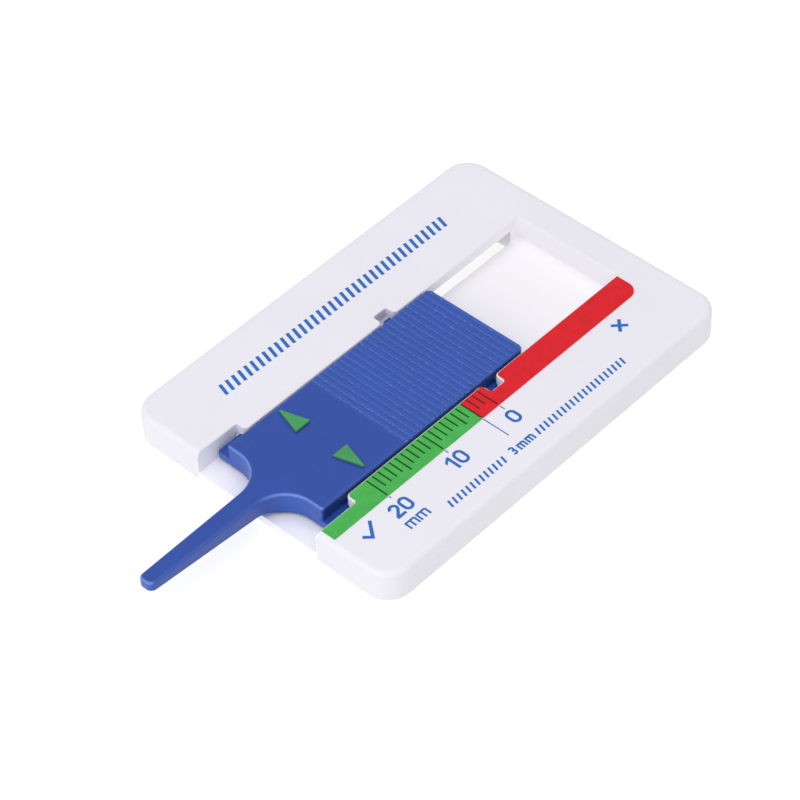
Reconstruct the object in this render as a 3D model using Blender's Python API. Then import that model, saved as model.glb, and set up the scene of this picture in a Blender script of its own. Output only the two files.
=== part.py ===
"""Tyre tread depth gauge, in metres.

A flat card has an undercut channel along its middle, open at one end. A slider
with a thin probe runs in the channel, held down by lugs under the channel's lips.
The card's open end rests on the tread, the probe goes down into the groove, and
the slider's arrow reads the depth on the scale printed beside the channel.

Frame: the origin is at the centre of the card's flat back. +X is the way the
slider retracts, +Y is away from the scale, and +Z comes out of the printed face.
"""

import math

import bpy
import bmesh
from mathutils import Vector

MM = 0.001
FIT_GAP = 0.3 * MM

# Scale, and the readings at rest and with the slider pushed right in
SCALE_ZERO = -0.9 * MM
RED_LIMIT = 3.0 * MM
REST_READING = 18.7 * MM
LOWEST_READING = 1.2 * MM

# Card
CARD_LENGTH = 62.3 * MM
CARD_WIDTH = 43.8 * MM
CARD_THICKNESS = 5.0 * MM
CARD_CORNER_RADIUS = 3.6 * MM
CARD_EDGE_RADIUS = 0.8 * MM
CARD_NEAR = -CARD_LENGTH / 2

# Channel in the card. Its far wall stops the slider at the lowest reading.
SLIDER_FAR = 8.65 * MM
FAR_WALL_CLEARANCE = 0.15 * MM
CHANNEL_FAR = SLIDER_FAR + REST_READING - LOWEST_READING + FAR_WALL_CLEARANCE
FLOOR_TOP = 1.7 * MM
CHANNEL_HALF_WIDTH = 8.35 * MM
CHANNEL_CORNER_RADIUS = 0.4 * MM
RECESS_HALF_WIDTH = 9.95 * MM
RECESS_END = -24.25 * MM
NOTCH_START = 0.35 * MM
NOTCH_END = 2.65 * MM
LIP_CORNER_RADIUS = 0.7 * MM
POCKET_CORNER_RADIUS = 0.3 * MM
LIP_UNDERSIDE = 3.5 * MM
LIP_EDGE_RADIUS = 0.2 * MM
# The lips' rounded top edges, as (outward, upward) shares of the radius. The last point is clear
# of the card's face.
LIP_EDGE_PROFILE = ((0.0, 0.0), (0.13, 0.5), (0.5, 0.87), (1.2, 1.05))

# Slots through the floor below the lips, which also clear the lugs
SLOT_INNER = CHANNEL_HALF_WIDTH - 0.1 * MM
SLOT_OUTER = 10.9 * MM
SLOT_START = RECESS_END - 0.25 * MM
SLOT_END = CHANNEL_FAR - 1.4 * MM
SLOT_CORNER_RADIUS = 0.5 * MM

# Slider
SLIDER_TOP = CARD_THICKNESS + 0.3 * MM
SLIDER_BOTTOM = FLOOR_TOP + 0.35 * MM
SLIDER_HALF_WIDTH = CHANNEL_HALF_WIDTH - FIT_GAP
SLIDER_FRONT = -27.95 * MM
SLIDER_FAR_RADIUS = 0.8 * MM
SLIDER_SHOULDER_RADIUS = 0.5 * MM
SLIDER_EDGE_RADIUS = 0.4 * MM
SLIDER_FOOT_CHAMFER = 0.08 * MM

# Lugs on the slider. The front pair stand a hair proud, so that no two faces coincide.
LUG_TOP = LIP_UNDERSIDE - FIT_GAP
LUG_BOTTOM = SLIDER_BOTTOM + 0.15 * MM
LUG_OUTER = RECESS_HALF_WIDTH - FIT_GAP
LUG_CORNER_RADIUS = 0.25 * MM
FRONT_LUG = (SLIDER_FRONT - 0.02 * MM, -23.2 * MM)
REAR_LUG = (1.65 * MM, 3.55 * MM)

# Probe
PROBE_TIP = CARD_NEAR - REST_READING
PROBE_ROOT_HALF_WIDTH = 1.53 * MM
PROBE_TIP_HALF_WIDTH = 1.13 * MM
PROBE_TIP_RADIUS = 0.85 * MM
PROBE_FILLET_RADIUS = 4.5 * MM
PROBE_ROOT = -32.5 * MM
PROBE_ROOT_BOTTOM = 2.85 * MM
PROBE_TIP_BOTTOM = 4.05 * MM
PROBE_RISE_START = -28.6 * MM
# The thinning cut starts this far below the slider, so that no two faces coincide
PROBE_RISE_STEP = 0.01 * MM

# Grip ribs, cut as grooves into the slider's top
GROOVE_FIRST = -13.2 * MM
GROOVE_PITCH = 0.96 * MM
GROOVE_COUNT = 23
WIDE_GROOVE_COUNT = 2
WIDE_GROOVE_WIDTH = 0.46 * MM
GROOVE_WIDTH = 0.36 * MM
GROOVE_DEPTH = 0.18 * MM
RIB_EDGE_RADIUS = 0.09 * MM
# The ribs' rounded edges, as (outward, upward) shares of the radius from the groove's top edge
GROOVE_FLOOR_SHARE = 0.7
RIB_EDGE_PROFILE = ((0.0, -1.0), (0.3, -0.3), (1.2, 0.1))

# Raised arrows on the slider, and the print on top of them
ARROW_BASE = 3.03 * MM
ARROW_TIP = 7.5 * MM
ARROW_HALF_WIDTH = 1.32 * MM
ARROW_HEIGHT = 0.26 * MM
ARROW_CORNER_RADIUS = 0.14 * MM
ARROW_EDGE_RADIUS = 0.06 * MM
ARROW_PRINT_INSET = 0.06 * MM

# Printed bands beside the channel
INK_GAP = 0.03 * MM
INK_THICKNESS = 0.05 * MM
BAND_MARGIN = LIP_EDGE_RADIUS
BAND_START = CARD_NEAR + CARD_EDGE_RADIUS + 0.1 * MM
BAND_END = 26.1 * MM
BAND_OUTER = 12.3 * MM
BAND_END_RADIUS = 1.8 * MM
BAND_SPLIT_GAP = 0.05 * MM

ARC_STEP = math.radians(7.5)
EDGE_STEPS = 4
CUT_OVERRUN = 1.0 * MM

WHITE_PLASTIC = (0.82, 0.81, 0.87)
BLUE_PLASTIC = (0.035, 0.09, 0.36)
GREEN_INK = (0.05, 0.42, 0.09)
RED_INK = (0.69, 0.02, 0.03)


def clear_scene():
    """Remove every object that the file opens with."""
    for item in list(bpy.data.objects):
        bpy.data.objects.remove(item, do_unlink=True)


def make_material(name, colour, roughness):
    """Return a plain plastic or ink material."""
    material = bpy.data.materials.new(name)
    material.use_nodes = True
    shader = material.node_tree.nodes["Principled BSDF"]
    shader.inputs["Base Color"].default_value = (*colour, 1.0)
    shader.inputs["Roughness"].default_value = roughness
    shader.inputs["Metallic"].default_value = 0.0
    return material


def add_object(name, shape, material=None):
    """Turn a bmesh into a named object in the scene."""
    bmesh.ops.recalc_face_normals(shape, faces=shape.faces)
    mesh = bpy.data.meshes.new(name)
    shape.to_mesh(mesh)
    shape.free()
    mesh.shade_smooth()
    mesh.set_sharp_from_angle(angle=math.radians(35))
    item = bpy.data.objects.new(name, mesh)
    bpy.context.scene.collection.objects.link(item)
    if material is not None:
        mesh.materials.append(material)
    return item


def add_tool(name, shape):
    """Make a hidden object that only cuts or joins another."""
    item = add_object(name, shape)
    item.hide_render = True
    item.display_type = "WIRE"
    return item


def combine(target, tool, operation):
    """Cut target with tool, or join tool to it."""
    modifier = target.modifiers.new(tool.name, "BOOLEAN")
    modifier.operation = operation
    modifier.solver = "EXACT"
    modifier.object = tool


def rounded_outline(corners):
    """Turn a closed loop of (x, y, radius) corners into points, with an arc at each corner."""
    points = []
    for index, (x, y, radius) in enumerate(corners):
        corner = Vector((x, y))
        if radius == 0:
            points.append(corner)
            continue
        to_previous = (Vector(corners[index - 1][:2]) - corner).normalized()
        to_next = (Vector(corners[(index + 1) % len(corners)][:2]) - corner).normalized()
        half_angle = to_previous.angle(to_next) / 2
        centre = corner + (to_previous + to_next).normalized() * (radius / math.sin(half_angle))
        reach = radius / math.tan(half_angle)
        first = corner + to_previous * reach - centre
        last = corner + to_next * reach - centre
        start = math.atan2(first.y, first.x)
        sweep = math.remainder(math.atan2(last.y, last.x) - start, math.tau)
        steps = max(2, math.ceil(abs(sweep) / ARC_STEP))
        for step in range(steps + 1):
            angle = start + sweep * step / steps
            points.append(centre + Vector((math.cos(angle), math.sin(angle))) * radius)
    return points


def grown(outline, distance):
    """Move an anticlockwise outline outwards by distance, or inwards if it is negative."""
    points = []
    for index, here in enumerate(outline):
        before = (here - outline[index - 1]).normalized()
        after = (outline[(index + 1) % len(outline)] - here).normalized()
        normal_before = Vector((before.y, -before.x))
        normal_after = Vector((after.y, -after.x))
        shift = (normal_before + normal_after) / (1 + normal_before.dot(normal_after))
        points.append(here + shift * distance)
    return points


def loft(levels):
    """Skin a stack of (outline, z) levels that have the same number of points, and cap it."""
    shape = bmesh.new()
    rings = [[shape.verts.new((p.x, p.y, z)) for p in outline] for outline, z in levels]
    for lower, upper in zip(rings, rings[1:]):
        for index in range(len(lower)):
            following = (index + 1) % len(lower)
            shape.faces.new((lower[index], lower[following], upper[following], upper[index]))
    shape.faces.new(list(reversed(rings[0])))
    shape.faces.new(rings[-1])
    return shape


def rolled_edge(outline, top, radius):
    """Return the levels of a quarter-round edge that runs in from outline and ends at top."""
    levels = []
    for step in range(EDGE_STEPS + 1):
        angle = math.radians(90) * step / EDGE_STEPS
        inset = radius * (1 - math.cos(angle))
        levels.append((grown(outline, -inset), top - radius * (1 - math.sin(angle))))
    return levels


def rectangle(x_from, x_to, y_from, y_to, radius=0.0):
    """Return an anticlockwise rectangle outline."""
    corners = ((x_from, y_from), (x_to, y_from), (x_to, y_to), (x_from, y_to))
    return rounded_outline([(x, y, radius) for x, y in corners])


def extrude_across(shape, profile, half_length):
    """Add to shape a bar with an (x, z) profile, running across the slider along Y."""
    near = [shape.verts.new((x, -half_length, z)) for x, z in profile]
    far = [shape.verts.new((x, half_length, z)) for x, z in profile]
    for index in range(len(profile)):
        following = (index + 1) % len(profile)
        shape.faces.new((near[index], near[following], far[following], far[index]))
    shape.faces.new(list(reversed(near)))
    shape.faces.new(far)


def mirrored(corners):
    """Add to a chain of (x, y, radius) corners its mirror image across the X axis."""
    return corners + [(x, -y, radius) for x, y, radius in reversed(corners)]


def channel_outline():
    """Return the channel's plan: open near end, front recess, notch pair and far wall."""
    side = [
        (CHANNEL_FAR, CHANNEL_HALF_WIDTH, CHANNEL_CORNER_RADIUS),
        (NOTCH_END, CHANNEL_HALF_WIDTH, LIP_CORNER_RADIUS),
        (NOTCH_END, RECESS_HALF_WIDTH, POCKET_CORNER_RADIUS),
        (NOTCH_START, RECESS_HALF_WIDTH, POCKET_CORNER_RADIUS),
        (NOTCH_START, CHANNEL_HALF_WIDTH, LIP_CORNER_RADIUS),
        (RECESS_END, CHANNEL_HALF_WIDTH, LIP_CORNER_RADIUS),
        (RECESS_END, RECESS_HALF_WIDTH, POCKET_CORNER_RADIUS),
        (CARD_NEAR - 3 * CUT_OVERRUN, RECESS_HALF_WIDTH, 0.0),
    ]
    return rounded_outline(mirrored(side))


def build_card(white):
    """Build the card: rolled edges, open channel with rounded lip edges, and two floor slots."""
    levels = []
    for top in (False, True):
        for step in range(EDGE_STEPS + 1):
            angle = math.radians(90) * step / EDGE_STEPS
            if top:
                inset = CARD_EDGE_RADIUS * (1 - math.cos(angle))
                z = CARD_THICKNESS - CARD_EDGE_RADIUS * (1 - math.sin(angle))
            else:
                inset = CARD_EDGE_RADIUS * (1 - math.sin(angle))
                z = CARD_EDGE_RADIUS * (1 - math.cos(angle))
            half_length = CARD_LENGTH / 2 - inset
            half_width = CARD_WIDTH / 2 - inset
            radius = CARD_CORNER_RADIUS - inset
            levels.append((rectangle(-half_length, half_length, -half_width, half_width, radius), z))
    card = add_object("gauge_card", loft(levels), white)

    channel = channel_outline()
    lip_edge = CARD_THICKNESS - LIP_EDGE_RADIUS
    cut_levels = [(channel, FLOOR_TOP)]
    for outward, upward in LIP_EDGE_PROFILE:
        outline = grown(channel, outward * LIP_EDGE_RADIUS)
        cut_levels.append((outline, lip_edge + upward * LIP_EDGE_RADIUS))
    cut_levels.append((outline, CARD_THICKNESS + CUT_OVERRUN))
    combine(card, add_tool("channel_cut", loft(cut_levels)), "DIFFERENCE")

    for side, name in ((1, "slot_cut_far_side"), (-1, "slot_cut_scale_side")):
        edges = sorted((side * SLOT_INNER, side * SLOT_OUTER))
        slot = rectangle(SLOT_START, SLOT_END, *edges, SLOT_CORNER_RADIUS)
        slot_shape = loft([(slot, -CUT_OVERRUN), (slot, LIP_UNDERSIDE)])
        combine(card, add_tool(name, slot_shape), "DIFFERENCE")
    return card


def slider_outline():
    """Return the slider's plan: square body, shoulders, concave fillets and tapered probe."""
    side = [
        (SLIDER_FAR, SLIDER_HALF_WIDTH, SLIDER_FAR_RADIUS),
        (SLIDER_FRONT, SLIDER_HALF_WIDTH, SLIDER_SHOULDER_RADIUS),
        (SLIDER_FRONT, PROBE_ROOT_HALF_WIDTH, PROBE_FILLET_RADIUS),
        (PROBE_TIP, PROBE_TIP_HALF_WIDTH, PROBE_TIP_RADIUS),
    ]
    return rounded_outline(mirrored(side))


def groove_profile(centre, width):
    """Return one groove's (x, z) section, with flared edges that round the ribs."""
    half = width / 2
    edge = RIB_EDGE_RADIUS
    floor = SLIDER_TOP - GROOVE_DEPTH
    side = [(GROOVE_FLOOR_SHARE * half, floor)]
    for outward, upward in RIB_EDGE_PROFILE:
        side.append((half + outward * edge, SLIDER_TOP + upward * edge))
    side.append((side[-1][0], SLIDER_TOP + CUT_OVERRUN))
    left = [(centre - x, z) for x, z in reversed(side)]
    right = [(centre + x, z) for x, z in side]
    return left + right


def arrow_outline(side):
    """Return the plan of one arrow, which points outwards across the slider."""
    centre = SCALE_ZERO - REST_READING
    corners = [
        (centre - ARROW_HALF_WIDTH, side * ARROW_BASE, ARROW_CORNER_RADIUS),
        (centre + ARROW_HALF_WIDTH, side * ARROW_BASE, ARROW_CORNER_RADIUS),
        (centre, side * ARROW_TIP, ARROW_CORNER_RADIUS),
    ]
    if side < 0:
        corners.reverse()
    return rounded_outline(corners)


def build_slider(blue):
    """Build the slider: rounded top edges, thinned probe, lugs, raised arrows and grip ribs."""
    plan = slider_outline()
    foot = [
        (grown(plan, -SLIDER_FOOT_CHAMFER), SLIDER_BOTTOM),
        (plan, SLIDER_BOTTOM + SLIDER_FOOT_CHAMFER),
    ]
    top = rolled_edge(plan, SLIDER_TOP, SLIDER_EDGE_RADIUS)
    slider = add_object("slider", loft(foot + top), blue)

    below = SLIDER_BOTTOM - CUT_OVERRUN
    rise = PROBE_ROOT_BOTTOM - SLIDER_BOTTOM
    rise_length = PROBE_RISE_START - PROBE_ROOT
    underside = [(PROBE_RISE_START, below)]
    for step in range(EDGE_STEPS + 1):
        share = step / EDGE_STEPS
        z = SLIDER_BOTTOM + rise * (1 - math.cos(math.pi * share)) / 2 - PROBE_RISE_STEP * (1 - share)
        underside.append((PROBE_RISE_START - rise_length * share, z))
    underside.append((PROBE_TIP - CUT_OVERRUN, PROBE_TIP_BOTTOM))
    underside.append((PROBE_TIP - CUT_OVERRUN, below))
    thinning = bmesh.new()
    extrude_across(thinning, underside, CARD_WIDTH / 2)
    combine(slider, add_tool("probe_thinning_cut", thinning), "DIFFERENCE")

    for place, (x_from, x_to) in (("front", FRONT_LUG), ("rear", REAR_LUG)):
        for side, name in ((1, "far_side"), (-1, "scale_side")):
            edges = sorted((side * (SLIDER_HALF_WIDTH - CUT_OVERRUN), side * LUG_OUTER))
            lug = rectangle(x_from, x_to, *edges, LUG_CORNER_RADIUS)
            lug_shape = loft([(lug, LUG_BOTTOM), (lug, LUG_TOP)])
            combine(slider, add_tool(f"{place}_lug_{name}", lug_shape), "UNION")

    for side, name in ((1, "raised_arrow_far_side"), (-1, "raised_arrow_scale_side")):
        arrow = arrow_outline(side)
        arrow_top = rolled_edge(arrow, SLIDER_TOP + ARROW_HEIGHT, ARROW_EDGE_RADIUS)
        arrow_shape = loft([(arrow, SLIDER_TOP - ARROW_HEIGHT)] + arrow_top)
        combine(slider, add_tool(name, arrow_shape), "UNION")

    grooves = bmesh.new()
    for index in range(GROOVE_COUNT):
        width = WIDE_GROOVE_WIDTH if index < WIDE_GROOVE_COUNT else GROOVE_WIDTH
        centre = GROOVE_FIRST + index * GROOVE_PITCH
        extrude_across(grooves, groove_profile(centre, width), SLIDER_HALF_WIDTH + CUT_OVERRUN)
    combine(slider, add_tool("rib_groove_cuts", grooves), "DIFFERENCE")
    return slider


def build_arrow_print(name, side, green):
    """Build the print on one raised arrow as a thin film just clear of its top."""
    plan = grown(arrow_outline(side), -ARROW_PRINT_INSET)
    base = SLIDER_TOP + ARROW_HEIGHT + INK_GAP
    return add_object(name, loft([(plan, base), (plan, base + INK_THICKNESS)]), green)


def band_outline(x_from, x_to):
    """Return the part of the printed band from x_from to x_to, following the channel's edge."""
    inner = CHANNEL_HALF_WIDTH + BAND_MARGIN
    stepped = RECESS_HALF_WIDTH + BAND_MARGIN
    corner = LIP_CORNER_RADIUS - BAND_MARGIN
    pocket = POCKET_CORNER_RADIUS + BAND_MARGIN
    edge = []
    if x_from < RECESS_END:
        edge += [
            (x_from, -stepped, 0.0),
            (RECESS_END + BAND_MARGIN, -stepped, pocket),
            (RECESS_END + BAND_MARGIN, -inner, corner),
        ]
    else:
        edge.append((x_from, -inner, 0.0))
    if x_from < NOTCH_START < x_to:
        edge += [
            (NOTCH_START - BAND_MARGIN, -inner, corner),
            (NOTCH_START - BAND_MARGIN, -stepped, pocket),
            (NOTCH_END + BAND_MARGIN, -stepped, pocket),
            (NOTCH_END + BAND_MARGIN, -inner, corner),
        ]
    edge.append((x_to, -inner, 0.0))
    end_radius = BAND_END_RADIUS if x_to == BAND_END else 0.0
    outer = [(x_to, -BAND_OUTER, end_radius), (x_from, -BAND_OUTER, 0.0)]
    return list(reversed(rounded_outline(edge + outer)))


def build_band(name, x_from, x_to, ink):
    """Build one printed band as a thin film just clear of the card's face."""
    plan = band_outline(x_from, x_to)
    base = CARD_THICKNESS + INK_GAP
    return add_object(name, loft([(plan, base), (plan, base + INK_THICKNESS)]), ink)


def main():
    """Build the gauge with the slider at its rest reading."""
    clear_scene()
    white = make_material("white_plastic", WHITE_PLASTIC, 0.38)
    blue = make_material("blue_plastic", BLUE_PLASTIC, 0.32)
    green = make_material("green_ink", GREEN_INK, 0.45)
    red = make_material("red_ink", RED_INK, 0.45)

    card = build_card(white)
    split = SCALE_ZERO - RED_LIMIT
    bands = [
        build_band("scale_band_green", BAND_START, split - BAND_SPLIT_GAP / 2, green),
        build_band("scale_band_red", split + BAND_SPLIT_GAP / 2, BAND_END, red),
    ]
    for band in bands:
        band.parent = card

    slider = build_slider(blue)
    slider.parent = card
    for name, side in (("arrow_mark_scale_side", -1), ("arrow_mark_far_side", 1)):
        build_arrow_print(name, side, green).parent = slider


main()
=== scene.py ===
"""The looks of the tyre tread depth gauge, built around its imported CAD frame."""

import math

import bmesh
import bpy
from mathutils import Matrix, Vector


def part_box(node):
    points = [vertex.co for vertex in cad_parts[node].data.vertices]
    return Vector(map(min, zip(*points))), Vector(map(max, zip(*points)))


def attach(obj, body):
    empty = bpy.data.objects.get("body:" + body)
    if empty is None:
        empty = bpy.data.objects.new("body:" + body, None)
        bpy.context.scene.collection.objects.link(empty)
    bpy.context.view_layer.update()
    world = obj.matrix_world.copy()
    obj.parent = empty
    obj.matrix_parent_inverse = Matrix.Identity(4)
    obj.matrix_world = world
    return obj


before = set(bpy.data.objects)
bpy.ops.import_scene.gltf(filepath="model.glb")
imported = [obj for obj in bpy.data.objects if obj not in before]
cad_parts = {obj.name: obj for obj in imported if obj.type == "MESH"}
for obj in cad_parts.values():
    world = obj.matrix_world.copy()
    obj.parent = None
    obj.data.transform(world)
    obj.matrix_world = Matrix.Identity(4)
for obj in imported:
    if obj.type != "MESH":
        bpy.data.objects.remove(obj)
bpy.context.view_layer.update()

MM = 0.001

# From the frame: the card, the two bands printed beside its channel, and the slider's far corner
CARD_LOW, CARD_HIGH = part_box("gauge_card")
GREEN_LOW, GREEN_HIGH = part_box("scale_band_green")
RED_LOW, RED_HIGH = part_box("scale_band_red")
SLIDER_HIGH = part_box("slider")[1]
CARD_FACE = CARD_HIGH.z
BAND_FACE = GREEN_HIGH.z
BAND_INNER = GREEN_HIGH.y
BAND_OUTER = GREEN_LOW.y
BAND_DEEP_END = GREEN_LOW.x
BAND_SHALLOW_END = RED_HIGH.x

# The scale: a mark to each millimetre of depth. The bands part at the limit's mark
LIMIT_DEPTH = 3
DEEPEST_MARK = 20
LIMIT_X = (GREEN_HIGH.x + RED_LOW.x) / 2
ZERO_X = LIMIT_X + LIMIT_DEPTH * MM

# Where the card's looks change: the channel, the notches and the mouth, by distance from the middle
CHANNEL_SIDE = -BAND_INNER - 0.05 * MM
CHANNEL_END = BAND_SHALLOW_END + 0.5 * MM
NOTCH_SIDE = SLIDER_HIGH.y - 0.35 * MM
MOUTH_SIDE = SLIDER_HIGH.y + 0.45 * MM
MOUTH_END = CARD_LOW.x + 7.65 * MM

# Where the slider's looks change: its shoulders, its first rib and the foot of its arrows
SHOULDERS = CARD_LOW.x + 2.95 * MM
RIBS_START = SLIDER_HIGH.x - 22.1 * MM
ARROW_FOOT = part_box("arrow_mark_far_side")[0].z - 0.25 * MM

# Colours, in linear red, green and blue
WHITE = (0.812, 0.80, 0.848)
# Painted highlight on the card's edges, painted light in its channel and mouth and on the channel walls,
# and painted shade on the recess walls
WHITE_EDGE_HIGHLIGHT = (0.90, 0.89, 0.93)
WHITE_PAINTED_LIGHT_IN_CHANNEL = (0.905, 0.89, 0.91)
WHITE_PAINTED_LIGHT_ON_CHANNEL_WALL = (0.975, 0.965, 0.98)
WHITE_PAINTED_LIGHT_IN_MOUTH = (0.93, 0.92, 0.94)
WHITE_SHADED = (0.50, 0.48, 0.45)
BLUE = (0.017, 0.065, 0.345)
BLUE_SCRATCH = (0.06, 0.13, 0.45)
# Painted light, shade, highlights and glints on the slider, and the arrows' green sides darkened as
# painted shade
BLUE_PAINTED_LIGHT_ON_RIBS = (0.036, 0.105, 0.44)
BLUE_PAINTED_LIGHT_ON_FRONT = (0.034, 0.125, 0.52)
BLUE_PAINTED_SHADE_ON_SCALE_SIDE = (0.006, 0.028, 0.13)
BLUE_ROLLED_EDGE_HIGHLIGHT = (0.05, 0.125, 0.47)
BLUE_FRONT_EDGE_HIGHLIGHT = (0.14, 0.26, 0.68)
BLUE_GLINT = (0.17, 0.30, 0.70)
BLUE_SHARP_EDGE_HIGHLIGHT = (0.075, 0.17, 0.54)
ARROW_SIDE_GREEN_IN_SHADE = (0.012, 0.11, 0.045)
ARROW_EDGE_HIGHLIGHT = (0.16, 0.36, 0.22)
ARROW_PRINT = (0.062, 0.325, 0.105)
GREEN_PRINT = (0.065, 0.435, 0.080)
RED_PRINT = (0.70, 0.011, 0.019)
BLUE_PRINT = (0.022, 0.150, 0.50)
TICK_ON_GREEN = (0.002, 0.062, 0.006)
TICK_ON_RED = (0.18, 0.006, 0.008)
TICK_ON_LIMIT = (0.03, 0.02, 0.01)

# Printed marks: each is a thin film, a hair above what it is printed on
INK_CLEARANCE = 0.005 * MM
INK_THICKNESS = 0.02 * MM

# The scale's marks: their widths on the bands and on the card, then how far from the band's inner
# edge they start and end
TICK_WIDTH = 0.20 * MM
TICK_WIDTH_ON_CARD = 0.7 * TICK_WIDTH
TICK_MARGIN = 0.17 * MM
TICK_REACH = 2.4 * MM
FIFTH_TICK_REACH = 2.95 * MM
LONG_TICK_REACH = {0: 4.7 * MM, LIMIT_DEPTH: 8.0 * MM, 10: 4.4 * MM, 20: 4.21 * MM}

# Numerals and units, each with its pen width. A glyph gives the depth of its mark and then a box in
# millimetres: its left from that mark, its bottom from the band's outer edge, its width and its height
DIGIT_PEN = 0.40 * MM
UNIT_PEN = 0.27 * MM
WORDS = {
    "numeral_0": (DIGIT_PEN, [("0", 0, -1.0, -3.7, 1.6, 2.3)]),
    "numeral_10": (DIGIT_PEN, [("0", 10, -0.25, -3.4, 1.6, 2.35), ("1", 10, -1.65, -3.4, 1.05, 2.35)]),
    "numeral_20": (DIGIT_PEN, [("0", 20, -0.25, -3.5, 1.55, 2.3), ("2", 20, -1.9, -3.5, 1.45, 2.3)]),
    "unit_mm": (UNIT_PEN, [("m", 20, -2.1, -5.7, 1.7, 1.25), ("m", 20, -0.2, -5.7, 1.7, 1.25)]),
    "limit_3_mm": (UNIT_PEN, [
        ("3", LIMIT_DEPTH, -2.05, -7.05, 0.8, 1.4),
        ("m", LIMIT_DEPTH, -0.8, -7.05, 1.3, 1.05),
        ("m", LIMIT_DEPTH, 0.7, -7.05, 1.3, 1.05),
    ]),
}

# Plain symbols, in millimetres from the outer corner at the deep and the shallow end of the bands
SYMBOL_PEN = 0.45 * MM
CHECK_POINTS = [(2.45, -2.2), (3.3, -3.1), (4.95, -1.0)]
CROSS_CENTRE = (-6.6, -2.2)
CROSS_REACH = 1.1 * MM

# Rows of slanted bars: (pitch, slant, pen width), then the X and the Y values that a row lies between
FAR_BARS = (1.09 * MM, 0.55 * MM, 0.46 * MM)
FAR_BARS_X = (CARD_LOW.x + 9.65 * MM, CARD_HIGH.x - 11.95 * MM)
FAR_BARS_Y = (CARD_HIGH.y - 7.65 * MM, CARD_HIGH.y - 5.75 * MM)
LIMIT_BARS = (0.80 * MM, 0.30 * MM, 0.30 * MM)
LIMIT_BARS_DEEP_X = (LIMIT_X - 13.2 * MM, LIMIT_X - 3.0 * MM)
LIMIT_BARS_SHALLOW_X = (LIMIT_X + 2.7 * MM, LIMIT_X + 19.4 * MM)
LIMIT_BARS_Y = (BAND_OUTER - 7.05 * MM, BAND_OUTER - 5.9 * MM)

# Camera: where it looks from, and the point on the card's face that it looks at
CAMERA_AZIMUTH = math.radians(-45.65)
CAMERA_ELEVATION = math.radians(45.87)
CAMERA_ROLL = math.radians(2.40)
CAMERA_DISTANCE = 403.2 * MM
CAMERA_LENS_MM = 147.3
CAMERA_SENSOR_MM = 36.0
CAMERA_TARGET = Vector((-8.2 * MM, -2.5 * MM, CARD_FACE))

# Studio: each light has its place, its size and its power in watts
FLOOR_DROP = 0.2 * MM
FLOOR_HALF_SIZE = 1.5
FLOOR_GREY = 0.3
FLOOR_GLOW = 0.77
SURROUND_STRENGTH = 0.58
FRONT_LIGHT = ((-0.70, -0.05, 0.25), 0.5, 1.15)
TOP_LIGHT = ((-0.15, -0.06, 0.80), 1.2, 4.75)
LIGHT_COLOUR = (0.96, 0.95, 1.0)


# ---------------------------------------------------------------- materials


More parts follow.
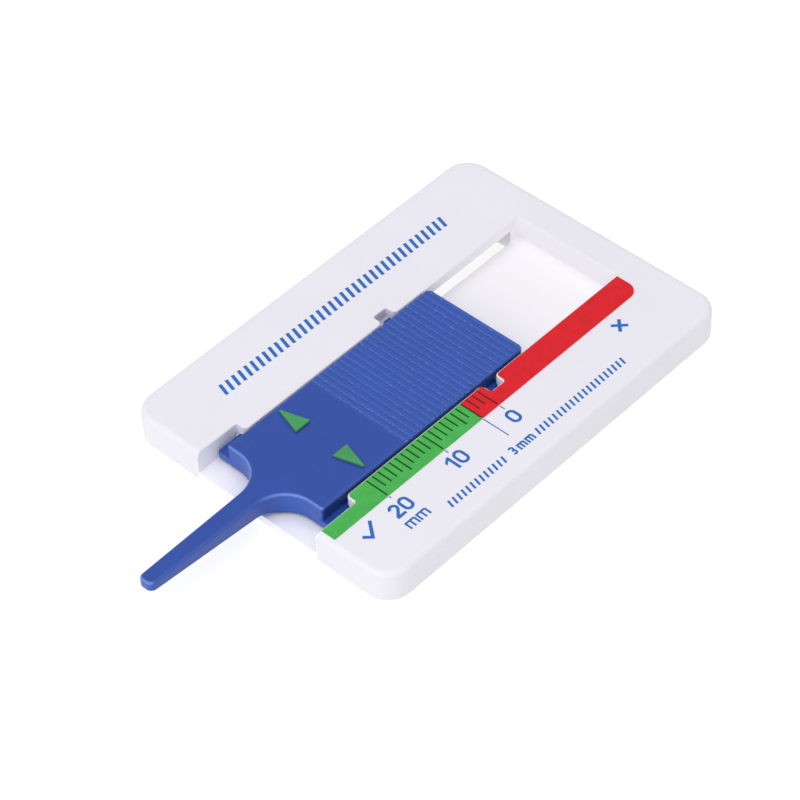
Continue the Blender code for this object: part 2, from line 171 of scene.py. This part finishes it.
class Surface:
    """A Principled material under construction, textured in the object's own metres."""

    def __init__(self, name, colour, roughness):
        self.material = bpy.data.materials.new(name)
        self.material.use_nodes = True
        self.nodes = self.material.node_tree.nodes
        self.links = self.material.node_tree.links
        self.shader = self.nodes["Principled BSDF"]
        self.place = self.nodes.new("ShaderNodeTexCoord").outputs["Object"]
        self.colour = colour
        self.roughness = roughness
        self.normal = None

    def noise(self, size, stretch=(1, 1, 1), detail=3.0, seed=0.0):
        """Return noise from 0 to 1 with features of that size in metres, stretched along each axis."""
        mapping = self.nodes.new("ShaderNodeMapping")
        mapping.inputs["Scale"].default_value = [1 / (size * s) for s in stretch]
        mapping.inputs["Location"].default_value = (seed, seed, seed)
        self.links.new(self.place, mapping.inputs["Vector"])
        texture = self.nodes.new("ShaderNodeTexNoise")
        texture.inputs["Scale"].default_value = 1.0
        texture.inputs["Detail"].default_value = detail
        self.links.new(mapping.outputs["Vector"], texture.inputs["Vector"])
        return texture.outputs["Fac"]

    def span(self, value, low, high, to_low=0.0, to_high=1.0):
        """Map value from low..high to to_low..to_high, clamped."""
        ranger = self.nodes.new("ShaderNodeMapRange")
        self.links.new(value, ranger.inputs["Value"])
        ranger.inputs["From Min"].default_value = low
        ranger.inputs["From Max"].default_value = high
        ranger.inputs["To Min"].default_value = to_low
        ranger.inputs["To Max"].default_value = to_high
        return ranger.outputs["Result"]

    def times(self, first, second):
        """Return the product of two values, each a socket or a number."""
        product = self.nodes.new("ShaderNodeMath")
        product.operation = "MULTIPLY"
        for socket, value in zip(product.inputs, (first, second)):
            if isinstance(value, (int, float)):
                socket.default_value = value
            else:
                self.links.new(value, socket)
        return product.outputs["Value"]

    def edge(self, radius, low=0.02, high=0.25):
        """Return 1 along edges sharper than radius and 0 on open faces."""
        bevel = self.nodes.new("ShaderNodeBevel")
        bevel.samples = 4
        bevel.inputs["Radius"].default_value = radius
        flat = self.nodes.new("ShaderNodeNewGeometry").outputs["Normal"]
        dot = self.nodes.new("ShaderNodeVectorMath")
        dot.operation = "DOT_PRODUCT"
        self.links.new(bevel.outputs["Normal"], dot.inputs[0])
        self.links.new(flat, dot.inputs[1])
        return self.span(dot.outputs["Value"], 1 - low, 1 - high)

    def along(self, axis):
        """Return the object's own coordinate along an axis."""
        split = self.nodes.new("ShaderNodeSeparateXYZ")
        self.links.new(self.place, split.inputs["Vector"])
        return split.outputs[axis]

    def magnitude(self, value):
        """Return value without its sign."""
        size = self.nodes.new("ShaderNodeMath")
        size.operation = "ABSOLUTE"
        self.links.new(value, size.inputs[0])
        return size.outputs["Value"]

    def facing(self, axis):
        """Return how far the face looks along an axis, from -1 to 1."""
        split = self.nodes.new("ShaderNodeSeparateXYZ")
        self.links.new(self.nodes.new("ShaderNodeNewGeometry").outputs["Normal"], split.inputs["Vector"])
        return split.outputs[axis]

    def looks_against(self, axis):
        """Return 1 on faces that look against an axis and 0 on the others."""
        return self.span(self.facing(axis), -0.35, -0.85)

    def rounded_top_edges(self):
        """Return 1 where a top face rolls over into a side and 0 on flat faces."""
        upward = self.facing("Z")
        return self.times(self.span(upward, 0.985, 0.88), self.span(upward, 0.12, 0.45))

    def tint(self, mask, colour):
        """Turn the colour so far towards another by mask, from 0 to 1."""
        mix = self.nodes.new("ShaderNodeMix")
        mix.data_type = "RGBA"
        self.links.new(mask, mix.inputs["Factor"])
        if isinstance(self.colour, tuple):
            mix.inputs["A"].default_value = (*self.colour, 1)
        else:
            self.links.new(self.colour, mix.inputs["A"])
        mix.inputs["B"].default_value = (*colour, 1)
        self.colour = mix.outputs["Result"]

    def roughen(self, mask, change):
        """Add change to the roughness where mask is 1."""
        total = self.nodes.new("ShaderNodeMath")
        total.operation = "MULTIPLY_ADD"
        total.use_clamp = True
        self.links.new(mask, total.inputs[0])
        total.inputs[1].default_value = change
        if isinstance(self.roughness, float):
            total.inputs[2].default_value = self.roughness
        else:
            self.links.new(self.roughness, total.inputs[2])
        self.roughness = total.outputs["Value"]

    def bump(self, height, depth, strength=1.0):
        """Raise the surface by height, from 0 to 1, times depth in metres."""
        bump = self.nodes.new("ShaderNodeBump")
        bump.inputs["Distance"].default_value = depth
        bump.inputs["Strength"].default_value = strength
        self.links.new(height, bump.inputs["Height"])
        if self.normal is not None:
            self.links.new(self.normal, bump.inputs["Normal"])
        self.normal = bump.outputs["Normal"]

    def finish(self, **constants):
        """Wire up the shader, set its constant sockets and return the material."""
        self.links.new(self.colour, self.shader.inputs["Base Color"])
        self.links.new(self.roughness, self.shader.inputs["Roughness"])
        self.links.new(self.normal, self.shader.inputs["Normal"])
        for name, value in constants.items():
            self.shader.inputs[name.replace("_", " ")].default_value = value
        return self.material


def scaled(colour, factor):
    """Return a colour made lighter or darker."""
    return tuple(min(1.0, c * factor) for c in colour)


def white_plastic():
    """Injection-moulded white plastic with a lavender cast, fine grain and handling marks, and painted
    light and shade on its edges, channel and recesses.
    """
    surface = Surface("white_moulded_plastic", WHITE, 0.42)
    surface.tint(surface.span(surface.noise(9 * MM, detail=2.0), 0.35, 0.7), scaled(WHITE, 0.965))
    surface.tint(surface.times(surface.noise(0.8 * MM, seed=3.0), 0.5), scaled(WHITE, 0.98))
    scratches = surface.span(surface.noise(0.12 * MM, (40, 1, 1), 2.0, 5.0), 0.66, 0.74)
    scratches = surface.times(scratches, surface.span(surface.noise(5 * MM, seed=8.0), 0.45, 0.6))
    surface.tint(surface.times(scratches, 0.35), scaled(WHITE, 0.86))
    # Painted highlight along the edges
    edges = surface.edge(0.35 * MM)
    surface.tint(surface.times(edges, 0.5), WHITE_EDGE_HIGHLIGHT)

    # Painted light inside the channel, as far as its closed end, and lightest on its walls
    across = surface.magnitude(surface.along("Y"))
    below_face = surface.span(surface.along("Z"), CARD_FACE - 0.05 * MM, CARD_FACE - 0.2 * MM)
    in_channel = surface.times(surface.span(across, CHANNEL_SIDE, CHANNEL_SIDE - 0.05 * MM), below_face)
    short_of_end = surface.span(surface.along("X"), CHANNEL_END, CHANNEL_END - 0.1 * MM)
    in_channel = surface.times(in_channel, short_of_end)
    surface.tint(in_channel, WHITE_PAINTED_LIGHT_IN_CHANNEL)
    walls = surface.span(surface.magnitude(surface.facing("Y")), 0.4, 0.8)
    surface.tint(surface.times(in_channel, walls), WHITE_PAINTED_LIGHT_ON_CHANNEL_WALL)

    # The outer walls of the mouth are shaded, and those of the notches less so
    in_recess = surface.times(surface.span(across, MOUTH_SIDE, MOUTH_SIDE - 0.05 * MM), below_face)
    recess_wall = surface.times(in_recess, surface.span(across, NOTCH_SIDE, NOTCH_SIDE + 0.2 * MM))
    recess_wall = surface.times(recess_wall, walls)
    shade = surface.span(surface.along("X"), MOUTH_END, MOUTH_END + 0.5 * MM, 0.5, 0.2)
    surface.tint(surface.times(recess_wall, shade), WHITE_SHADED)
    # Painted light over the whole mouth, below the card's face
    in_mouth = surface.times(in_recess, surface.span(surface.along("X"), MOUTH_END, MOUTH_END - 0.5 * MM))
    surface.tint(in_mouth, WHITE_PAINTED_LIGHT_IN_MOUTH)

    surface.roughen(surface.noise(1.5 * MM, seed=11.0), 0.12)
    surface.roughen(scratches, 0.2)
    surface.roughen(edges, -0.12)
    surface.bump(surface.noise(4 * MM, detail=1.0, seed=2.0), 0.02 * MM)
    surface.bump(surface.noise(0.14 * MM, detail=2.0), 0.004 * MM)
    surface.bump(scratches, -0.004 * MM)
    return surface.finish(IOR=1.49)


def blue_plastic():
    """Glossy blue moulded plastic, with sliding scratches, painted highlights on its edges, painted light
    and shade on its faces, and green arrow sides.
    """
    surface = Surface("blue_moulded_plastic", BLUE, 0.30)
    surface.tint(surface.span(surface.noise(7 * MM, detail=2.0), 0.35, 0.7), scaled(BLUE, 0.90))
    surface.tint(surface.times(surface.noise(0.5 * MM, seed=4.0), 0.4), scaled(BLUE, 1.15))
    scratches = surface.span(surface.noise(0.1 * MM, (60, 1, 1), 2.0, 7.0), 0.67, 0.76)
    scratches = surface.times(scratches, surface.span(surface.noise(6 * MM, seed=9.0), 0.42, 0.6))
    surface.tint(surface.times(scratches, 0.3), BLUE_SCRATCH)
    streaks = surface.noise(0.16 * MM, (1, 14, 1), 2.0, 13.0)
    surface.tint(surface.times(surface.span(streaks, 0.5, 0.75), 0.25), scaled(BLUE, 1.3))

    # Painted light on the ribs and on the front faces, and painted shade on the side by the scale
    on_ribs = surface.span(surface.along("X"), RIBS_START, RIBS_START + 0.1 * MM)
    surface.tint(surface.times(on_ribs, 0.4), BLUE_PAINTED_LIGHT_ON_RIBS)
    surface.tint(surface.times(surface.looks_against("X"), 0.55), BLUE_PAINTED_LIGHT_ON_FRONT)
    behind_shoulders = surface.span(surface.along("X"), SHOULDERS, SHOULDERS + 0.3 * MM)
    scale_side = surface.times(surface.looks_against("Y"), behind_shoulders)
    surface.tint(surface.times(scale_side, 0.75), BLUE_PAINTED_SHADE_ON_SCALE_SIDE)

    # Painted highlights on the rolled edges, most of all at the front, and painted glints in specks along
    # the ribs' rolled edges
    rolled = surface.rounded_top_edges()
    surface.tint(surface.times(rolled, 0.45), BLUE_ROLLED_EDGE_HIGHLIGHT)
    front_rolled = surface.times(rolled, surface.span(surface.facing("X"), -0.05, -0.45))
    front_highlight = surface.times(front_rolled, surface.span(on_ribs, 0.0, 1.0, 0.75, 0.20))
    surface.tint(front_highlight, BLUE_FRONT_EDGE_HIGHLIGHT)
    rib_glints = surface.span(surface.noise(0.3 * MM, detail=2.0, seed=21.0), 0.56, 0.66)
    rib_glints = surface.times(surface.times(rib_glints, rolled), on_ribs)
    surface.tint(surface.times(rib_glints, 0.55), BLUE_GLINT)
    # Painted highlight along sharp edges
    edges = surface.edge(0.11 * MM)
    surface.tint(surface.times(edges, 0.4), BLUE_SHARP_EDGE_HIGHLIGHT)

    # The raised arrows are green down their sides, darkened there as painted shade, with a painted
    # highlight on their rolled edges
    on_arrows = surface.span(surface.along("Z"), ARROW_FOOT, ARROW_FOOT + 0.04 * MM)
    surface.tint(on_arrows, ARROW_SIDE_GREEN_IN_SHADE)
    surface.tint(surface.times(surface.times(on_arrows, rolled), 0.7), ARROW_EDGE_HIGHLIGHT)

    surface.roughen(surface.noise(1.2 * MM, seed=12.0), 0.10)
    surface.roughen(scratches, 0.15)
    surface.roughen(edges, -0.08)
    surface.bump(surface.noise(5 * MM, detail=1.0, seed=2.0), 0.02 * MM)
    surface.bump(surface.noise(0.13 * MM, detail=2.0), 0.003 * MM)
    surface.bump(streaks, 0.004 * MM)
    surface.bump(scratches, -0.004 * MM)
    return surface.finish(IOR=1.49, Specular_IOR_Level=0.45)


def printed_ink(name, colour):
    """Screen-printed ink: slightly uneven cover, tiny pinholes and a soft sheen."""
    surface = Surface(name, colour, 0.42)
    surface.tint(surface.span(surface.noise(1.6 * MM, detail=3.0), 0.35, 0.7), scaled(colour, 0.84))
    surface.tint(surface.times(surface.noise(0.25 * MM, seed=6.0), 0.5), scaled(colour, 1.12))
    pinholes = surface.span(surface.noise(0.12 * MM, detail=1.0, seed=15.0), 0.74, 0.78)
    surface.tint(surface.times(pinholes, 0.2), scaled(colour, 1.6))
    surface.roughen(surface.noise(0.9 * MM, seed=10.0), 0.14)
    surface.bump(surface.noise(0.2 * MM, detail=2.0), 0.004 * MM)
    return surface.finish(IOR=1.5, Specular_IOR_Level=0.2)


# ---------------------------------------------------------------- printed marks


def film(name, loops, low, material):
    """Print one piece of thin film on the card. Each loop is closed, and a loop in another is a hole."""
    # The curve is filled in millimetres and one millimetre thick, and its mesh is then scaled to a film
    curve = bpy.data.curves.new(name, "CURVE")
    curve.dimensions = "2D"
    curve.fill_mode = "BOTH"
    curve.extrude = 0.5
    for loop in loops:
        spline = curve.splines.new("POLY")
        spline.points.add(len(loop) - 1)
        spline.use_cyclic_u = True
        for point, (x, y) in zip(spline.points, loop):
            point.co = (x / MM, y / MM, 0.0, 1.0)
    flat = bpy.data.objects.new(name + "_curve", curve)
    bpy.context.scene.collection.objects.link(flat)
    bpy.context.view_layer.update()
    mesh = bpy.data.meshes.new_from_object(flat.evaluated_get(bpy.context.evaluated_depsgraph_get()))
    bpy.data.objects.remove(flat)
    bpy.data.curves.remove(curve)
    shape = bmesh.new()
    shape.from_mesh(mesh)
    bmesh.ops.remove_doubles(shape, verts=shape.verts, dist=0.001)
    bmesh.ops.recalc_face_normals(shape, faces=shape.faces)
    for vertex in shape.verts:
        x, y, z = vertex.co
        vertex.co = (x * MM, y * MM, low + (z + 0.5) * INK_THICKNESS)
    shape.to_mesh(mesh)
    shape.free()
    mesh.name = name
    mesh.materials.clear()
    mesh.materials.append(material)
    piece = bpy.data.objects.new(name, mesh)
    bpy.context.scene.collection.objects.link(piece)
    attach(piece, "card_body")


def print_on_card(name, loops):
    """Print loops in blue straight on the card's face."""
    film(name, loops, CARD_FACE + INK_CLEARANCE, CARD_INK)


def stroke(points, width):
    """Return the outline of a square-ended pen stroke through points, with mitred bends."""
    path = [Vector(p) for p in points]
    left, right = [], []
    for index, point in enumerate(path):
        before = (point - path[index - 1]).normalized() if index else None
        after = (path[index + 1] - point).normalized() if index + 1 < len(path) else None
        before = before or after
        after = after or before
        across_before = Vector((-before.y, before.x))
        across_after = Vector((-after.y, after.x))
        across = (across_before + across_after) / (1 + across_before.dot(across_after))
        left.append(point + across * width / 2)
        right.append(point - across * width / 2)
    return [tuple(p) for p in left + list(reversed(right))]


def arc(x, y, radius, start, end, steps=14):
    """Return points along an arc about (x, y) from start to end, both in degrees."""
    angles = [math.radians(start + (end - start) * step / steps) for step in range(steps + 1)]
    return [(x + radius * math.cos(angle), y + radius * math.sin(angle)) for angle in angles]


def digit_0(width, height, pen):
    """Return the outer and inner loops of a 0."""
    loops = []
    for inset in (0.0, pen):
        radius = width / 2 - inset
        top = arc(width / 2, height - width / 2, radius, 0, 180)
        bottom = arc(width / 2, width / 2, radius, 180, 360)
        loops.append(top + bottom)
    return loops


def digit_1(width, height, pen):
    """Return the loop of a 1: a stem with a slanting flag."""
    stem = width - pen
    flag = 0.76 * height
    return [[
        (stem, 0.0), (width, 0.0), (width, height), (stem + 0.2 * pen, height),
        (0.0, flag), (0.0, flag - pen), (stem, height - 1.25 * pen),
    ]]


def digit_2(width, height, pen):
    """Return the loop of a 2: a hook, a diagonal and a base."""
    radius = width / 2
    inner = arc(radius, height - radius, radius - pen, 170, -38)
    outer = arc(radius, height - radius, radius, -38, 170)
    base = [(0.0, pen), (0.0, 0.0), (width, 0.0), (width, pen), (1.5 * pen, pen)]
    return [inner + base + outer]


def digit_3(width, height, pen):
    """Return the loop of a 3: two bowls that meet in a short bar."""
    radius = (height + pen) / 4
    meeting = math.degrees(math.asin((height - 2 * radius) / 2 / radius))
    bar = 0.35 * width
    loop = arc(radius, height - radius, radius, 150, -meeting)
    loop += arc(radius, radius, radius, meeting, -150)
    loop += arc(radius, radius, radius - pen, -150, 90)
    loop += [(bar, (height - pen) / 2), (bar, (height + pen) / 2)]
    loop += arc(radius, height - radius, radius - pen, -90, 150)
    return [loop]


def letter_m(width, height, pen):
    """Return the loop of a lower-case m: three stems under a rounded top."""
    middle = width / 2
    under = height - pen
    return [[
        (0.0, 0.0), (pen, 0.0), (pen, under), (middle - pen / 2, under),
        (middle - pen / 2, 0.0), (middle + pen / 2, 0.0), (middle + pen / 2, under),
        (width - pen, under), (width - pen, 0.0), (width, 0.0),
        (width, height - 0.7 * pen), (width - 0.7 * pen, height), (0.0, height),
    ]]


GLYPHS = {"0": digit_0, "1": digit_1, "2": digit_2, "3": digit_3, "m": letter_m}


def cross(x, y, reach, width):
    """Return the outline of a diagonal cross about (x, y)."""
    half = width / 2
    quarter = [(half, half), (half, reach), (-half, reach)]
    points = []
    for turn in range(4):
        angle = math.radians(45 + 90 * turn)
        for across, along in quarter:
            points.append((
                x + across * math.cos(angle) - along * math.sin(angle),
                y + across * math.sin(angle) + along * math.cos(angle),
            ))
    return points


def bars(x_span, y_span, style):
    """Return a row of slanted bars that fills a span of X, each across a span of Y."""
    first, last = x_span
    low, high = y_span
    pitch, slant, pen = style
    loops = []
    for index in range(int((last - first) / pitch) + 1):
        left = first + index * pitch
        loops.append(stroke([(left, low), (left + slant, high)], pen))
    return loops


def mark_x(depth):
    """Return the X of the mark for a depth in mm."""
    return ZERO_X - depth * MM


def tick_outer(depth):
    """Return the Y that the mark for a depth in mm reaches out to."""
    usual = FIFTH_TICK_REACH if depth % 5 == 0 else TICK_REACH
    return BAND_INNER - LONG_TICK_REACH.get(depth, usual)


def add_ticks():
    """Print the millimetre marks: dark on the two bands, blue where they run on over the card."""
    on_green, on_red, on_card, on_limit = [], [], [], []
    for depth in range(DEEPEST_MARK + 1):
        x = mark_x(depth)
        outer = tick_outer(depth)
        on_band = [(x, BAND_INNER - TICK_MARGIN), (x, max(outer, BAND_OUTER + TICK_WIDTH))]
        if depth == LIMIT_DEPTH:
            on_limit.append(stroke(on_band, TICK_WIDTH))
        elif depth > LIMIT_DEPTH:
            on_green.append(stroke(on_band, TICK_WIDTH))
        else:
            on_red.append(stroke(on_band, TICK_WIDTH))
        if outer < BAND_OUTER:
            on_card.append(stroke([(x, BAND_OUTER - TICK_WIDTH / 2), (x, outer)], TICK_WIDTH_ON_CARD))
    band_ink = BAND_FACE + INK_CLEARANCE
    film("scale_marks_on_green", on_green, band_ink, TICK_INK_ON_GREEN)
    film("scale_marks_on_red", on_red, band_ink, TICK_INK_ON_RED)
    film("limit_mark_on_bands", on_limit, band_ink, TICK_INK_ON_LIMIT)
    print_on_card("scale_marks_on_card", on_card)


def add_words():
    """Print the numbers 0, 10 and 20, the unit, and the 3 mm limit under its mark."""
    for name, (pen, glyphs) in WORDS.items():
        loops = []
        for glyph, depth, left, bottom, width, height in glyphs:
            corner_x = mark_x(depth) + left * MM
            corner_y = BAND_OUTER + bottom * MM
            for loop in GLYPHS[glyph](width * MM, height * MM, pen):
                loops.append([(corner_x + x, corner_y + y) for x, y in loop])
        print_on_card(name, loops)


def add_symbols():
    """Print plain symbols: a check mark at the deep end, a cross at the shallow end, and bar rows."""
    check = [(BAND_DEEP_END + x * MM, BAND_OUTER + y * MM) for x, y in CHECK_POINTS]
    print_on_card("check_symbol", [stroke(check, SYMBOL_PEN)])
    cross_x = BAND_SHALLOW_END + CROSS_CENTRE[0] * MM
    cross_y = BAND_OUTER + CROSS_CENTRE[1] * MM
    print_on_card("cross_symbol", [cross(cross_x, cross_y, CROSS_REACH, SYMBOL_PEN)])
    print_on_card("bar_row_far_side", bars(FAR_BARS_X, FAR_BARS_Y, FAR_BARS))
    limit_bars = bars(LIMIT_BARS_DEEP_X, LIMIT_BARS_Y, LIMIT_BARS)
    limit_bars += bars(LIMIT_BARS_SHALLOW_X, LIMIT_BARS_Y, LIMIT_BARS)
    print_on_card("bar_rows_by_limit", limit_bars)


# ---------------------------------------------------------------- studio


def add_camera():
    """Put the camera at the view's azimuth, elevation and roll."""
    forward = Vector((
        -math.sin(CAMERA_AZIMUTH) * math.cos(CAMERA_ELEVATION),
        math.cos(CAMERA_AZIMUTH) * math.cos(CAMERA_ELEVATION),
        -math.sin(CAMERA_ELEVATION),
    ))
    data = bpy.data.cameras.new("camera")
    data.lens = CAMERA_LENS_MM
    data.sensor_width = CAMERA_SENSOR_MM
    data.clip_start = 0.01
    data.clip_end = 20.0
    camera = bpy.data.objects.new("camera", data)
    bpy.context.scene.collection.objects.link(camera)
    turn = forward.to_track_quat("-Z", "Y").to_matrix().to_4x4()
    roll = Matrix.Rotation(-CAMERA_ROLL, 4, "Z")
    camera.matrix_world = Matrix.Translation(CAMERA_TARGET - forward * CAMERA_DISTANCE) @ turn @ roll
    bpy.context.scene.camera = camera


def add_area_light(name, place, size, power):
    """Add a soft square light at place, shining at the gauge."""
    data = bpy.data.lights.new(name, "AREA")
    data.shape = "SQUARE"
    data.size = size
    data.energy = power
    data.color = LIGHT_COLOUR
    light = bpy.data.objects.new(name, data)
    light.location = place
    light.rotation_euler = (-Vector(place)).to_track_quat("-Z", "Y").to_euler()
    bpy.context.scene.collection.objects.link(light)


def add_floor():
    """Add the pale floor, which glows so that it stays evenly pale."""
    mesh = bpy.data.meshes.new("floor")
    half = FLOOR_HALF_SIZE
    corners = [(-half, -half, 0), (half, -half, 0), (half, half, 0), (-half, half, 0)]
    mesh.from_pydata(corners, [], [(0, 1, 2, 3)])
    floor = bpy.data.objects.new("floor", mesh)
    bpy.context.scene.collection.objects.link(floor)
    floor.location.z = -FLOOR_DROP
    material = bpy.data.materials.new("floor_white")
    material.use_nodes = True
    shader = material.node_tree.nodes["Principled BSDF"]
    shader.inputs["Base Color"].default_value = (FLOOR_GREY, FLOOR_GREY, FLOOR_GREY, 1)
    shader.inputs["Roughness"].default_value = 0.9
    shader.inputs["Specular IOR Level"].default_value = 0.0
    shader.inputs["Emission Color"].default_value = (1, 1, 1, 1)
    shader.inputs["Emission Strength"].default_value = FLOOR_GLOW
    mesh.materials.append(material)


def add_surround():
    """Light the gauge evenly from all around."""
    world = bpy.data.worlds.new("surround")
    world.use_nodes = True
    background = world.node_tree.nodes["Background"]
    background.inputs["Color"].default_value = (1.0, 1.0, 1.0, 1)
    background.inputs["Strength"].default_value = SURROUND_STRENGTH
    bpy.context.scene.world = world


CARD_INK = printed_ink("blue_print", BLUE_PRINT)
TICK_INK_ON_GREEN = printed_ink("tick_print_on_green", TICK_ON_GREEN)
TICK_INK_ON_RED = printed_ink("tick_print_on_red", TICK_ON_RED)
TICK_INK_ON_LIMIT = printed_ink("tick_print_on_limit", TICK_ON_LIMIT)
ARROW_INK = printed_ink("arrow_print", ARROW_PRINT)
FINISHES = {
    "gauge_card": white_plastic(),
    "slider": blue_plastic(),
    "scale_band_green": printed_ink("green_print", GREEN_PRINT),
    "scale_band_red": printed_ink("red_print", RED_PRINT),
    "arrow_mark_scale_side": ARROW_INK,
    "arrow_mark_far_side": ARROW_INK,
}

for node, finish in FINISHES.items():
    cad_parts[node].material_slots[0].material = finish
add_ticks()
add_words()
add_symbols()
add_camera()
add_floor()
add_surround()
add_area_light("front", *FRONT_LIGHT)
add_area_light("top", *TOP_LIGHT)
bpy.context.scene.view_settings.view_transform = "Standard"
